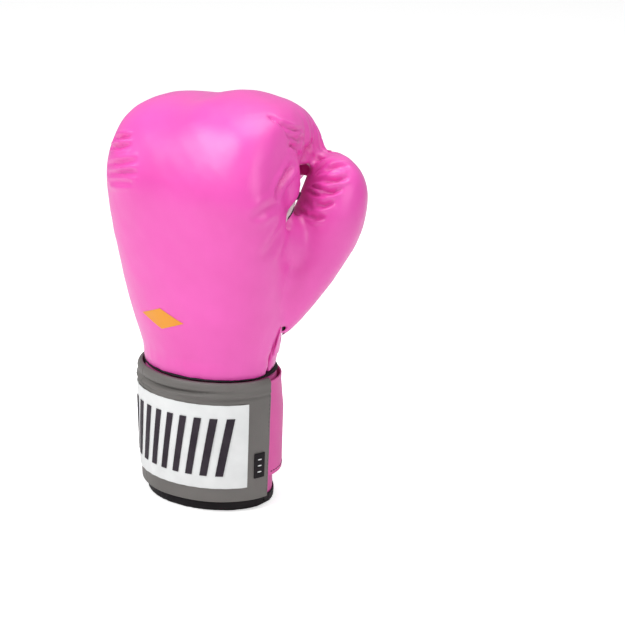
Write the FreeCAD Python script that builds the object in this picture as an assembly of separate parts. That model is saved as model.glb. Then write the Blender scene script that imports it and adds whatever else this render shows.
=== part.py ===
"""Left-hand training boxing glove with a padded cuff and a wrap-round hook-and-loop wrist strap.

Millimetres. The glove stands on its cuff: origin at the centre of the wrist opening in the plane of
the rim, +Z towards the knuckles, +X towards the thumb, +Y towards the palm, -Y the back of the hand.
Angles round the cuff run from +X (thumb side) through +Y (palm) to -X (little finger) and -Y (back).
"""

import FreeCAD
import Part
import math
import os

V = FreeCAD.Vector
FAR = 400.0  # reach of cutting tools, beyond every part of the glove

# ---------------------------------------------------------------- overall sizes
GLOVE_HEIGHT = 279.0
KNUCKLE_HALF_WIDTH = 69.0
ROLL_HALF_WIDTH = 62.5  # the folded fingers are narrower than the knuckles
KNUCKLE_SHIFT_X = 4.0  # the knuckles lean to the thumb side
ROLL_SHIFT_X = -9.0  # and the folded fingers to the little-finger side
BACK_REACH = 66.0  # from the fold axis out to the back of the hand
TOP_REACH = 64.0  # and to the top of the fist
ROLL_REACH = 64.0  # and to the front of the folded fingers
FOLD_SQUARENESS = 2.3  # 2 folds round an ellipse, and more is squarer
FOLD_CORNERS = 0.7  # the section grows this much squarer on top of the fist
FOLD_GAP = 4.0  # free space between the folded fingers and the palm

# ---------------------------------------------------------------- cuff
CUFF_TOP_Z = 93.0
CUFF_TOP_HALF = (49.5, 39.5)  # half width and half depth at the top of the cuff
CUFF_RIM_HALF = (46.0, 37.0)  # the same at the rim
CUFF_BASE_Z = 2.2  # the cuff wall starts inside the rim binding
COVER = 1.2
CUFF_FOAM = 7.0
LINING = 0.8
LAYER_GAP = 0.2  # between sewn layers
BINDING_HEIGHT = 7.0
BINDING_WALL = 1.2
PIPING_RADIUS = 1.3
COVER_SEAM_THUMB = 30.0  # angle of the seam between back cover and thumb-side cover
COVER_SEAM_LITTLE = 150.0

# ---------------------------------------------------------------- palm slit
SLIT_X = -9.0  # the slit runs a little to the little-finger side of the middle
SLIT_ABOVE_CUFF = 70.0
SLIT_TOP_WIDTH = 14.0
SLIT_RIM_WIDTH = 8.0
FACING_BAND = 13.5  # width of the white facing round the slit
FACING_LIFT = 7.0  # and how much more it has above the slit
FACING_THICKNESS = 0.9
TONGUE_OVERLAP = 8.0  # how far the tongue reaches past the slit on each side
TONGUE_THICKNESS = 1.0

# ---------------------------------------------------------------- fist
SKIN = 1.4
FIST_BASE_GAP = 3.0  # height of the piping seam between cuff and fist
GRIP_BAR_RADIUS = 7.0
FINGER_POCKET_DEPTH = 22.0
FINGER_POCKET_HALF_WIDTH = 48.0
PALM_WALL = 6.0
FINGERTIP_DROP = 21.0  # the folded fingers reach this far below the knuckle axis
TIP_SHARE = 0.97  # where the rounded fingertip end is closed with a small flat
CORNER_X = 15.0  # the folded fingers are cut away above the thumb, from here outwards
CORNER_SLOPE = 35.0  # degrees that the cut leans from upright
CORNER_WALL = 8.0  # padding left between that cut and the finger pocket
PALM_SIDE_Y = 2.0  # the palm mesh is sewn to the back panel along this line
PALM_TOP_BELOW_KNUCKLE = 10.0
BASE_BAND_WIDTH = 11.0  # below the mesh a leather band joins the palm to the cuff
HAND_STATIONS = 6
FOLD_STATIONS = 7
TIP_STATIONS = 5
SECTION_POINTS = 28

# ---------------------------------------------------------------- thumb
THUMB_BASE_RISE = 12.0  # from the cuff seam to the foot of the thumb pad
THUMB_TIP_RISE = 28.0  # from the knuckle axis to its tip
THUMB_ROOT_INSET = 7.5  # its foot lies this far inside the cuff's side
THUMB_ROOT_Y = 11.0
THUMB_STAND_OFF = 3.5  # its middle stands this far outside the knuckles
THUMB_FORWARD = 46.0
THUMB_HALF = (30.0, 26.0)  # half width and half thickness of the thumb pad
THUMB_TURN = -35.0  # the pad's wide direction, in degrees from +X
THUMB_HOLE_HALF = (17.0, 11.0)
THUMB_HOLE_RISE = 5.0  # the space for the thumb starts this far above the foot of the pad
THUMB_CLEARANCE = 0.3
THUMB_JOINT = 0.55  # share of the thumb's height where its two foam pads meet
# shares of (height, way out along X, way out along Y, half width, half thickness)
THUMB_PROFILE = (
    (0.0, 0.0, 0.0, 0.20, 0.20),
    (0.12, 0.20, 0.05, 0.34, 0.34),
    (0.23, 0.39, 0.18, 0.55, 0.54),
    (0.37, 0.58, 0.32, 0.77, 0.79),
    (0.50, 0.70, 0.54, 0.93, 0.96),
    (0.62, 0.82, 0.73, 1.00, 1.00),
    (0.735, 0.96, 0.83, 0.99, 0.91),
    (0.85, 1.0, 0.93, 0.93, 0.78),
    (0.94, 0.99, 0.98, 0.76, 0.56),
    (1.0, 0.96, 1.0, 0.36, 0.28),
)
TRIM_WIDTH = 6.0  # white trim along the seam between the palm and the thumb
TRIM_TOP_DROP = 31.0  # the trim ends this far below the knuckle axis
LOCK_THICKNESS = 2.0
LOCK_DROP = 20.0  # how far the tie reaches down from the tip of the thumb
LOCK_SHIFT_Y = 5.0

# ---------------------------------------------------------------- strap
STRAP_TOP_GAP = 3.5  # from the strap's upper edge to the top of the cuff
STRAP_BASE_GAP = 0.75  # from the rim binding to its lower edge
STRAP_OFFSET = 2.6  # from the cuff cover to the inside of the strap
STRAP_THICKNESS = 2.4
ELASTIC_THICKNESS = 1.6
ELASTIC_MARGIN = 4.0  # the elastic is narrower than the strap, above and below
STRAP_BINDING_WALL = 0.7
STRAP_BINDING_WIDTH = 5.0
LOOP_TAPE = 0.8
HOOK_TAPE = 0.8
TAPE_MARGIN = 12.0
LABEL_THICKNESS = 0.5
LABEL_MARGIN = 10.5
LABEL_START = 198.0
LABEL_END = 337.5
HINGE_GAP = 0.7
ROOT_TAB = (40.0, 48.0)
FOLD_ANGLES = (48.7, 108.0, 185.0, 275.0)  # fold lines of the strap, from its sewn root to its free end
PINK_END = 142.0
STRAP_END = 357.5
SIZE_TAB = (343.0, 352.0)
SIZE_TAB_RISE = (16.25, 34.25)
SIZE_TAB_THICKNESS = 0.9

# ---------------------------------------------------------------- back mark
MARK_HALF = (20.0, 7.5)
MARK_X = -8.0
MARK_RISE = 38.0  # from the cuff seam to its middle
MARK_THICKNESS = 0.3

# ---------------------------------------------------------------- worked-out places
FIST_BASE_Z = CUFF_TOP_Z + FIST_BASE_GAP
CUFF_WALL = COVER + CUFF_FOAM + LINING + 2 * LAYER_GAP
KNUCKLE_Z = GLOVE_HEIGHT - TOP_REACH
MESH_BASE_Z = FIST_BASE_Z + BASE_BAND_WIDTH
SLIT_TOP_Z = FIST_BASE_Z + SLIT_ABOVE_CUFF
TRIM_TOP_Z = KNUCKLE_Z - TRIM_TOP_DROP
THUMB_BASE_Z = FIST_BASE_Z + THUMB_BASE_RISE
THUMB_TIP_Z = KNUCKLE_Z + THUMB_TIP_RISE
THUMB_ROOT = (CUFF_TOP_HALF[0] - THUMB_ROOT_INSET, THUMB_ROOT_Y)
THUMB_OUT = (KNUCKLE_HALF_WIDTH + THUMB_STAND_OFF, THUMB_FORWARD)
STRAP_BASE_Z = BINDING_HEIGHT + STRAP_BASE_GAP
STRAP_TOP_Z = CUFF_TOP_Z - STRAP_TOP_GAP
SIZE_TAB_Z = (STRAP_BASE_Z + SIZE_TAB_RISE[0], STRAP_BASE_Z + SIZE_TAB_RISE[1])
MARK_Z = FIST_BASE_Z + MARK_RISE
KNUCKLE_Y = 12.0
FOLD_INNER = FOLD_GAP / 2
KNUCKLE_HALF_DEPTH = (BACK_REACH - FOLD_INNER) / 2
HAND_Y = KNUCKLE_Y - FOLD_INNER - KNUCKLE_HALF_DEPTH  # centre of the hand section at the knuckles
FIST_BASE_HALF = (CUFF_TOP_HALF[0] - 1.0, CUFF_TOP_HALF[1] - 1.0)
POCKET_HALF = FINGER_POCKET_DEPTH / 2


def mix(a, b, share):
    return a + (b - a) * share


# ---------------------------------------------------------------- building blocks
def oval(z, cx, cy, hx, hy, power=2.0, turn=0.0):
    """Closed rounded outline at height z; power 2 is an ellipse, and more is squarer."""
    points = []
    for i in range(SECTION_POINTS):
        t = 2 * math.pi * i / SECTION_POINTS
        c, s = math.cos(t), math.sin(t)
        x = hx * math.copysign(abs(c) ** (2 / power), c)
        y = hy * math.copysign(abs(s) ** (2 / power), s)
        r = math.radians(turn)
        points.append(V(cx + x * math.cos(r) - y * math.sin(r), cy + x * math.sin(r) + y * math.cos(r), z))
    curve = Part.BSplineCurve()
    curve.interpolate(Points=points, PeriodicFlag=True)
    return Part.Wire(curve.toShape())


def ellipse(z, hx, hy):
    return Part.Wire(Part.Ellipse(V(0, 0, z), hx, hy).toShape())


def cuff_half(z):
    share = z / CUFF_TOP_Z
    return tuple(mix(CUFF_RIM_HALF[i], CUFF_TOP_HALF[i], share) for i in (0, 1))


def cuff_solid(offset, z0, z1):
    """Solid of the cuff's tapered oval between two heights, grown by offset."""
    rings = []
    for z in (z0, z1):
        hx, hy = cuff_half(z)
        rings.append(ellipse(z, hx + offset, hy + offset))
    return Part.makeLoft(rings, True, True)


def cuff_ring(outer, inner, z0, z1):
    return cuff_solid(outer, z0, z1).cut(cuff_solid(inner, z0 - 1, z1 + 1))


def block(x0, x1, y0, y1, z0, z1):
    return Part.makeBox(x1 - x0, y1 - y0, z1 - z0, V(x0, y0, z0))


def sector(start, end, z0=-50.0, z1=350.0):
    """Wedge about the glove's axis between two angles, in degrees."""
    steps = max(2, math.ceil((end - start) / 40.0))
    points = [V(0, 0, z0)]
    for i in range(steps + 1):
        a = math.radians(mix(start, end, i / steps))
        points.append(V(FAR * math.cos(a), FAR * math.sin(a), z0))
    points.append(points[0])
    return Part.Face(Part.makePolygon(points)).extrude(V(0, 0, z1 - z0))


def through_palm(outline):
    """Turns a closed outline in the XZ plane into a cutter that reaches out through the palm."""
    return Part.Face(outline).extrude(V(0, FAR, 0))


def solids_of(shape):
    """The shape's solids as one compound, without slivers that a cut leaves behind."""
    whole = max(s.Volume for s in shape.Solids)
    kept = [s for s in shape.Solids if s.Volume > 0.002 * whole]
    return kept[0] if len(kept) == 1 else Part.makeCompound(kept)


# ---------------------------------------------------------------- fist shapes
def trimmed(shape):
    """Cuts off what a solid keeps below the seam between fist and cuff."""
    return shape.cut(block(-FAR, FAR, -FAR, FAR, 0, FIST_BASE_Z))


def hand_section(share, inset):
    """Outline values of the hand between the cuff (0) and the knuckles (1)."""
    wide = math.sin(share * math.pi / 2)
    z = mix(FIST_BASE_Z, KNUCKLE_Z, share)
    hx = mix(FIST_BASE_HALF[0], KNUCKLE_HALF_WIDTH, wide) - inset
    hy = mix(FIST_BASE_HALF[1], KNUCKLE_HALF_DEPTH, share**1.4) - inset
    return z, KNUCKLE_SHIFT_X * share, HAND_Y * share, hx, hy, 2.0 + 0.6 * share


def pocket_section(share, inset):
    """Outline values of the space for the hand, between the cuff and the knuckles."""
    z, cx, cy, hx, hy, power = hand_section(share, 0.0)
    half = mix(CUFF_TOP_HALF[1] - CUFF_WALL, POCKET_HALF, share**0.8)
    wide = mix(CUFF_TOP_HALF[0] - CUFF_WALL, FINGER_POCKET_HALF_WIDTH, math.sin(share * math.pi / 2))
    wall = mix(hy - half, PALM_WALL, min(1.0, share * 1.5))
    y = cy + hy - wall - half
    return z, cx, y, wide - inset, half - inset, 2.0 + 0.4 * share


def fold_radius(turn):
    """Outer reach of the fist from the fold axis; 0 is the back, 90 the top, 180 the folded fingers."""
    side = BACK_REACH if turn < 90 else ROLL_REACH
    r = math.radians(turn)
    c, s = abs(math.cos(r)) / side, abs(math.sin(r)) / TOP_REACH
    return (c**FOLD_SQUARENESS + s**FOLD_SQUARENESS) ** (-1 / FOLD_SQUARENESS)


def fist_fold(turn, inset):
    """Outline values of the fist's padding on its way round the fold, before turning: x, reaches."""
    share = turn / 180
    shift = mix(KNUCKLE_SHIFT_X, ROLL_SHIFT_X, share)
    wide = mix(KNUCKLE_HALF_WIDTH, ROLL_HALF_WIDTH, share) - inset
    power = 2.6 + FOLD_CORNERS * math.sin(math.pi * min(share, 0.75))
    return shift, wide, FOLD_INNER + inset, fold_radius(turn) - inset, power


def pocket_fold(turn, inset):
    """The same for the finger pocket, which bends round the grip bar."""
    shift = mix(KNUCKLE_SHIFT_X, ROLL_SHIFT_X, turn / 180)
    z, cx, cy, hx, hy, power = pocket_section(1.0, inset)
    return shift, hx, KNUCKLE_Y - cy - hy, KNUCKLE_Y - cy + hy, power


def station_wires(section, inset):
    """Outlines of the hand or of its pocket, starting some way below the seam at the cuff."""
    z, *rest = section(0.0, inset)
    wires = [oval(z - 12.0, *rest)]
    for i in range(HAND_STATIONS):
        wires.append(oval(*section(i / (HAND_STATIONS - 1), inset)))
    return wires


def hand_solid(inset=0.0):
    """The hand from below the cuff seam up to the knuckle axis."""
    return Part.makeLoft(station_wires(hand_section, inset), True, False)


def pocket_hand(inset=0.0):
    return Part.makeLoft(station_wires(pocket_section, inset), True, False)


def fold_wire(values, turn, rise=0.0, closing=0.0):
    """One outline of the fold, turned about the knuckle axis; rise carries it on past the turn."""
    cx, hx, inner, outer, power = values
    y = KNUCKLE_Y - (inner + outer) / 2
    wire = oval(KNUCKLE_Z + rise, cx, y, hx - closing, (outer - inner) / 2 - closing, power)
    wire.rotate(V(0, KNUCKLE_Y, KNUCKLE_Z), V(-1, 0, 0), turn)
    return wire


def bent_solid(section, fold, inset, drop):
    """Hand, half turn over the knuckles and folded fingers as one closed skin."""
    hand = station_wires(section, inset)
    turns = [180 * i / (FOLD_STATIONS - 1) for i in range(FOLD_STATIONS)]
    bend = [hand[-1]] + [fold_wire(fold(turn, inset), turn) for turn in turns[1:]]
    last = fold(180, inset)
    thick = (last[3] - last[2]) / 2
    fingers = [bend[-1]]
    for i in range(1, TIP_STATIONS + 1):
        share = TIP_SHARE * i / TIP_STATIONS
        closing = thick * (1 - math.sqrt(1 - share**2)) * 0.8
        fingers.append(fold_wire(last, 180, drop * share, closing))
    faces = [Part.Face(hand[0]), Part.Face(fingers[-1])]
    for wires in (hand, bend, fingers):
        faces += Part.makeLoft(wires, False, False).Faces
    skin = Part.Compound(faces)
    skin.sewShape()
    solid = Part.Solid(skin.Shells[0])
    solid.fix(0.001, 0.001, 0.001)
    return solid


def corner_cutter(shift):
    """Everything past the sloping cut that makes room for the thumb, on the finger side only."""
    lean = math.tan(math.radians(CORNER_SLOPE))
    base = KNUCKLE_Z - FINGERTIP_DROP + 4.0
    low, high = base - FINGERTIP_DROP, KNUCKLE_Z + FINGERTIP_DROP
    points = [
        V(CORNER_X + (low - base) * lean - shift, KNUCKLE_Y, low),
        V(CORNER_X + (high - base) * lean - shift, KNUCKLE_Y, high),
        V(FAR, KNUCKLE_Y, high),
        V(FAR, KNUCKLE_Y, low),
    ]
    return Part.Face(Part.makePolygon(points + points[:1])).extrude(V(0, FAR, 0))


def fist_solid(inset=0.0):
    """Hand, fold and folded fingers in one solid, with room left for the thumb."""
    beyond_hand = hand_solid(-FOLD_GAP / 2 + 0.1)
    room = corner_cutter(inset).cut(beyond_hand)
    thumb = thumb_solid(-THUMB_CLEARANCE - inset).cut(beyond_hand)
    return bent_solid(hand_section, fist_fold, inset, FINGERTIP_DROP - inset).cut(room).cut(thumb)


def pocket_solid(inset=0.0):
    """The space inside the fist: palm, fold round the grip bar, and finger pocket."""
    room = corner_cutter(CORNER_WALL + inset).cut(hand_solid(-FOLD_GAP / 2 + 0.1))
    return bent_solid(pocket_section, pocket_fold, inset, FINGERTIP_DROP / 2 - inset).cut(room)


# ---------------------------------------------------------------- thumb shapes
def thumb_solid(inset=0.0, half=THUMB_HALF, start=THUMB_BASE_Z, end=1.0, fullness=1.0):
    """The thumb pad, leaning out from the wrist; end is the share of its height that is used."""
    wires = []
    for height, out_x, out_y, wide, thick in THUMB_PROFILE:
        if height <= end:
            wires.append(
                oval(
                    mix(start, THUMB_TIP_Z, height) - (inset if height == 1.0 else 0.0),
                    mix(THUMB_ROOT[0], THUMB_OUT[0], out_x),
                    mix(THUMB_ROOT[1], THUMB_OUT[1], out_y),
                    half[0] * wide**fullness - inset,
                    half[1] * thick**fullness - inset,
                    2.2,
                    THUMB_TURN,
                )
            )
    return Part.makeLoft(wires, True, False)


def thumb_pocket(inset=0.0):
    return thumb_solid(inset, THUMB_HOLE_HALF, THUMB_BASE_Z + THUMB_HOLE_RISE, 0.86, 0.5)


# ---------------------------------------------------------------- palm outlines
def slit_outline(grow=0.0, lift=0.0, z0=-20.0):
    """Slit outline seen from the palm: straight legs that spread upwards under a round top."""
    top = SLIT_TOP_WIDTH / 2 + grow
    rim = SLIT_RIM_WIDTH / 2 + grow
    z1 = SLIT_TOP_Z - SLIT_TOP_WIDTH / 2 + lift
    left = Part.LineSegment(V(SLIT_X - rim, 0, z0), V(SLIT_X - top, 0, z1)).toShape()
    arch = Part.Arc(V(SLIT_X - top, 0, z1), V(SLIT_X, 0, z1 + top), V(SLIT_X + top, 0, z1)).toShape()
    right = Part.LineSegment(V(SLIT_X + top, 0, z1), V(SLIT_X + rim, 0, z0)).toShape()
    foot = Part.LineSegment(V(SLIT_X + rim, 0, z0), V(SLIT_X - rim, 0, z0)).toShape()
    return Part.Wire([left, arch, right, foot])


# ---------------------------------------------------------------- the pieces
def piping_bead():
    """Round bead sewn into the seam between cuff and fist."""
    middle = CUFF_TOP_Z + FIST_BASE_GAP / 2
    rings = []
    for rise, swell in ((-1.0, -0.4), (-0.6, 0.5), (0.0, 1.0), (0.6, 0.5), (1.0, -0.4)):
        grow = PIPING_RADIUS * swell
        rings.append(ellipse(middle + PIPING_RADIUS * rise, FIST_BASE_HALF[0] + grow, FIST_BASE_HALF[1] + grow))
    core = ellipse(middle - FIST_BASE_GAP, FIST_BASE_HALF[0] - PIPING_RADIUS, FIST_BASE_HALF[1] - PIPING_RADIUS)
    inside = Part.Face(core).extrude(V(0, 0, 2 * FIST_BASE_GAP))
    return Part.makeLoft(rings, True, True).cut(inside)


def cuff_pieces():
    slit = through_palm(slit_outline())
    wall_in = -COVER - LAYER_GAP
    foam_in = wall_in - CUFF_FOAM
    cover = cuff_ring(0, -COVER, CUFF_BASE_Z, CUFF_TOP_Z).cut(slit)
    foam = cuff_ring(wall_in, foam_in, CUFF_BASE_Z, CUFF_TOP_Z).cut(slit)
    lining_out = foam_in - LAYER_GAP
    lining = cuff_ring(lining_out, lining_out - LINING, CUFF_BASE_Z, CUFF_TOP_Z).cut(slit)
    binding = cuff_ring(BINDING_WALL, -CUFF_WALL - BINDING_WALL, 0, BINDING_HEIGHT)
    binding = binding.cut(cuff_ring(0.1, -CUFF_WALL - 0.1, CUFF_BASE_Z - 0.1, BINDING_HEIGHT + 1)).cut(slit)
    tape_z = (STRAP_BASE_Z + TAPE_MARGIN, STRAP_TOP_Z - TAPE_MARGIN)
    loop = cuff_ring(LOOP_TAPE, 0, *tape_z).common(sector(268.0, STRAP_END))
    tab = cuff_ring(STRAP_OFFSET + ELASTIC_THICKNESS, 0, STRAP_BASE_Z + ELASTIC_MARGIN, STRAP_TOP_Z - ELASTIC_MARGIN)
    return {
        "cuff_back_cover": cover.common(sector(COVER_SEAM_LITTLE, 360.0 + COVER_SEAM_THUMB)),
        "cuff_thumb_cover": cover.common(sector(COVER_SEAM_THUMB, 90.0)),
        "cuff_little_cover": cover.common(sector(90.0, COVER_SEAM_LITTLE)),
        "cuff_foam": foam,
        "cuff_lining": lining,
        "rim_binding": binding,
        "loop_tape": loop,
        "strap_root_tab": tab.common(sector(*ROOT_TAB)),
        "cuff_piping": piping_bead().cut(slit),
    }


def fist_pieces():
    slit = through_palm(slit_outline())
    top = KNUCKLE_Z - PALM_TOP_BELOW_KNUCKLE
    palm_box = block(-FAR, FAR, PALM_SIDE_Y, FAR, 0, top)
    pocket = pocket_solid(-LAYER_GAP)
    thumb_hole = thumb_pocket(-LAYER_GAP)
    plug = hand_solid(-LAYER_GAP).common(palm_box)
    palm_box = block(-FAR, FAR, PALM_SIDE_Y + LAYER_GAP, FAR, 0, top - LAYER_GAP)
    outside = hand_solid()
    core = hand_solid(SKIN)
    half_turn = block(-FAR, FAR, -FAR, FAR, KNUCKLE_Z, FAR)
    ends = FINGER_POCKET_HALF_WIDTH - 4.0
    axis = (V((KNUCKLE_SHIFT_X + ROLL_SHIFT_X) / 2 - ends, KNUCKLE_Y, KNUCKLE_Z), V(1, 0, 0))
    bar_hole = Part.makeCylinder(GRIP_BAR_RADIUS + LAYER_GAP, 2 * ends + 2 * LAYER_GAP, *axis)
    bar_hole.translate(V(-LAYER_GAP, 0, 0))
    bar = Part.makeCylinder(GRIP_BAR_RADIUS, 2 * ends, *axis)
    bar = bar.cut(Part.makeCylinder(FOLD_INNER + SKIN + LAYER_GAP, 2 * ends, *axis)).common(half_turn)

    skin = trimmed(fist_solid().cut(fist_solid(SKIN))).cut(plug).cut(thumb_hole)
    foam = fist_solid(SKIN + LAYER_GAP).cut(pocket).cut(plug).cut(bar_hole.common(half_turn))
    foam = trimmed(foam).cut(thumb_hole)
    palm_skin = trimmed(outside.cut(core).common(palm_box)).cut(thumb_hole).cut(slit)
    palm_pad = hand_solid(SKIN + LAYER_GAP).common(palm_box).cut(pocket)
    palm_pad = trimmed(palm_pad).cut(thumb_hole).cut(slit)
    lining = trimmed(pocket_solid().cut(pocket_solid(LINING))).cut(thumb_pocket()).cut(slit)
    band = block(-FAR, FAR, -FAR, FAR, 0, MESH_BASE_Z)
    below_fold = block(-FAR, FAR, -FAR, FAR, 0, KNUCKLE_Z - LAYER_GAP)
    pocket_top = KNUCKLE_Z + pocket_fold(90.0, -LAYER_GAP)[3]
    above_pocket = block(-FAR, FAR, -FAR, FAR, pocket_top, FAR)
    round_pocket = block(-FAR, FAR, -FAR, FAR, KNUCKLE_Z, pocket_top - LAYER_GAP)
    return {
        "fist_leather": skin,
        "back_foam": foam.common(below_fold).common(outside),
        "knuckle_foam": foam.common(above_pocket),
        "fold_foam": foam.common(round_pocket),
        "finger_foam": foam.common(below_fold).cut(outside),
        "palm_mesh": palm_skin.cut(band),
        "palm_base_band": palm_skin.common(band),
        "palm_pad": palm_pad,
        "hand_lining": lining,
        "grip_bar": max(bar.cut(skin).Solids, key=lambda solid: solid.Volume),
    }


def thumb_pieces():
    hand = hand_solid(-THUMB_CLEARANCE)
    foam = thumb_solid(SKIN + LAYER_GAP).cut(thumb_pocket(-LAYER_GAP)).cut(hand)
    middle = mix(THUMB_BASE_Z, THUMB_TIP_Z, THUMB_JOINT)
    return {
        "thumb_leather": thumb_solid().cut(thumb_solid(SKIN)).cut(hand),
        "thumb_root_foam": foam.common(block(-FAR, FAR, -FAR, FAR, 0, middle)),
        "thumb_foam": foam.common(block(-FAR, FAR, -FAR, FAR, middle + LAYER_GAP, FAR)),
        "thumb_lining": thumb_pocket().cut(thumb_pocket(LINING)).cut(pocket_solid(-LAYER_GAP)),
    }


def palm_trim_pieces():
    slit = through_palm(slit_outline())
    around = through_palm(slit_outline(FACING_BAND, FACING_LIFT)).cut(slit)
    layer = trimmed(hand_solid(-FACING_THICKNESS).cut(hand_solid(-0.05)))
    ring_z = (BINDING_HEIGHT + 0.3, CUFF_TOP_Z)
    cuff_layer = cuff_ring(FACING_THICKNESS + 0.05, 0.05, *ring_z)
    palm_side = block(-FAR, FAR, PALM_SIDE_Y, FAR, FIST_BASE_Z + 2, TRIM_TOP_Z)
    trim = layer.common(palm_side).common(thumb_solid(-THUMB_CLEARANCE - TRIM_WIDTH))
    trim = trim.cut(thumb_solid(-THUMB_CLEARANCE)).cut(around)
    half = SLIT_TOP_WIDTH / 2 + TONGUE_OVERLAP
    window = block(SLIT_X - half, SLIT_X + half, 0, FAR, CUFF_BASE_Z + 1.5, SLIT_TOP_Z + TONGUE_OVERLAP)
    inside = LINING + LAYER_GAP
    tongue_top = trimmed(pocket_hand(inside).cut(pocket_hand(inside + TONGUE_THICKNESS))).common(window)
    behind = -CUFF_WALL - 0.2 - BINDING_WALL
    tongue_low = cuff_ring(behind, behind - TONGUE_THICKNESS, CUFF_BASE_Z, FIST_BASE_Z).common(window)
    return {
        "slit_facing": Part.makeCompound([layer.common(around), cuff_layer.common(around)]),
        "thumb_trim": trim,
        "slit_tongue": Part.makeCompound([tongue_top, tongue_low]),
    }


def strap_band(start, end, inner=STRAP_OFFSET, outer=STRAP_OFFSET + STRAP_THICKNESS, z0=STRAP_BASE_Z, z1=STRAP_TOP_Z):
    return cuff_ring(outer, inner, z0, z1).common(sector(start, end))


def fold_gap_angle(angle):
    """Angle that half the hinge gap takes up at this place on the strap."""
    hx, hy = cuff_half(CUFF_TOP_Z)
    a = math.radians(angle)
    radius = 1 / math.hypot(math.cos(a) / hx, math.sin(a) / hy)
    return math.degrees(HINGE_GAP / 2 / radius)


def strap_pieces():
    root, side, back, tip = FOLD_ANGLES
    gaps = {a: fold_gap_angle(a) for a in FOLD_ANGLES}
    elastic_z = (STRAP_BASE_Z + ELASTIC_MARGIN, STRAP_TOP_Z - ELASTIC_MARGIN)
    outside = STRAP_OFFSET + STRAP_THICKNESS
    pieces = {
        "strap_elastic": strap_band(
            root + gaps[root], side - gaps[side], STRAP_OFFSET, STRAP_OFFSET + ELASTIC_THICKNESS, *elastic_z
        ),
        "strap_side_leather": strap_band(side + gaps[side], PINK_END),
        "strap_side_band": strap_band(PINK_END + 0.05, back - gaps[back]),
        "strap_back_band": strap_band(back + gaps[back], tip - gaps[tip]),
        "strap_end_band": strap_band(tip + gaps[tip], STRAP_END),
    }
    for name, low, high in (("lower", STRAP_BASE_Z, None), ("upper", None, STRAP_TOP_Z)):
        z0 = low - STRAP_BINDING_WALL if low else high - STRAP_BINDING_WIDTH
        z1 = high + STRAP_BINDING_WALL if high else low + STRAP_BINDING_WIDTH
        start, end = side + gaps[side], PINK_END
        wrap = strap_band(start, end, STRAP_OFFSET - STRAP_BINDING_WALL, outside + STRAP_BINDING_WALL, z0, z1)
        inner = cuff_ring(outside + 0.05, STRAP_OFFSET - 0.05, STRAP_BASE_Z - 0.05, STRAP_TOP_Z + 0.05)
        pieces[f"strap_binding_{name}"] = wrap.cut(inner)
    label_z = (STRAP_BASE_Z + LABEL_MARGIN, STRAP_TOP_Z - LABEL_MARGIN)
    face = (outside + 0.05, outside + 0.05 + LABEL_THICKNESS)
    pieces["label_back"] = strap_band(LABEL_START, tip - gaps[tip], *face, *label_z)
    pieces["label_end"] = strap_band(tip + gaps[tip], LABEL_END, *face, *label_z)
    tape_z = (STRAP_BASE_Z + TAPE_MARGIN, STRAP_TOP_Z - TAPE_MARGIN)
    inside = (STRAP_OFFSET - 0.05 - HOOK_TAPE, STRAP_OFFSET - 0.05)
    pieces["hook_tape"] = strap_band(tip + 6.0, STRAP_END - 2.0, *inside, *tape_z)
    tab = (outside + 0.05, outside + 0.05 + SIZE_TAB_THICKNESS)
    pieces["size_tab"] = strap_band(*SIZE_TAB, *tab, *SIZE_TAB_Z)
    return pieces


def back_mark():
    """Plain lozenge on the back of the hand."""
    half_x, half_z = MARK_HALF
    points = [
        V(MARK_X - half_x, 0, MARK_Z),
        V(MARK_X, 0, MARK_Z + half_z),
        V(MARK_X + half_x, 0, MARK_Z),
        V(MARK_X, 0, MARK_Z - half_z),
    ]
    lozenge = Part.Face(Part.makePolygon(points + points[:1])).extrude(V(0, -FAR, 0))
    layer = hand_solid(-0.05 - MARK_THICKNESS).cut(hand_solid(-0.05))
    return {"back_mark": layer.common(lozenge)}


def thumb_lock():
    """Strip that ties the thumb's tip to the folded fingers, across the gap between them."""
    y = THUMB_OUT[1] + LOCK_SHIFT_Y
    strip = block(CORNER_X, THUMB_OUT[0], y, y + LOCK_THICKNESS, THUMB_TIP_Z - LOCK_DROP, THUMB_TIP_Z)
    strip = strip.cut(thumb_solid(-0.1)).cut(hand_solid(-THUMB_CLEARANCE)).cut(fist_solid(-0.1))
    return {"thumb_lock_strip": strip}


def main():
    os.makedirs("parts", exist_ok=True)
    pieces = {}
    for group in (cuff_pieces, fist_pieces, thumb_pieces, palm_trim_pieces, strap_pieces, back_mark, thumb_lock):
        pieces.update(group())
    for name, shape in pieces.items():
        solids_of(shape).exportStep(f"parts/{name}.step")


main()
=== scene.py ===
"""Looks of a left-hand training boxing glove that stands on its cuff, in metres, piece by piece.

+Z runs from the wrist to the knuckles, +X to the thumb, +Y to the palm. Turns round the cuff are
degrees from +X (thumb) through +Y (palm), -X (little finger) and -Y (back of the hand).
"""

import math

import bpy
import numpy as np
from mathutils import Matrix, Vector
from mathutils.bvhtree import BVHTree


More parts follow.
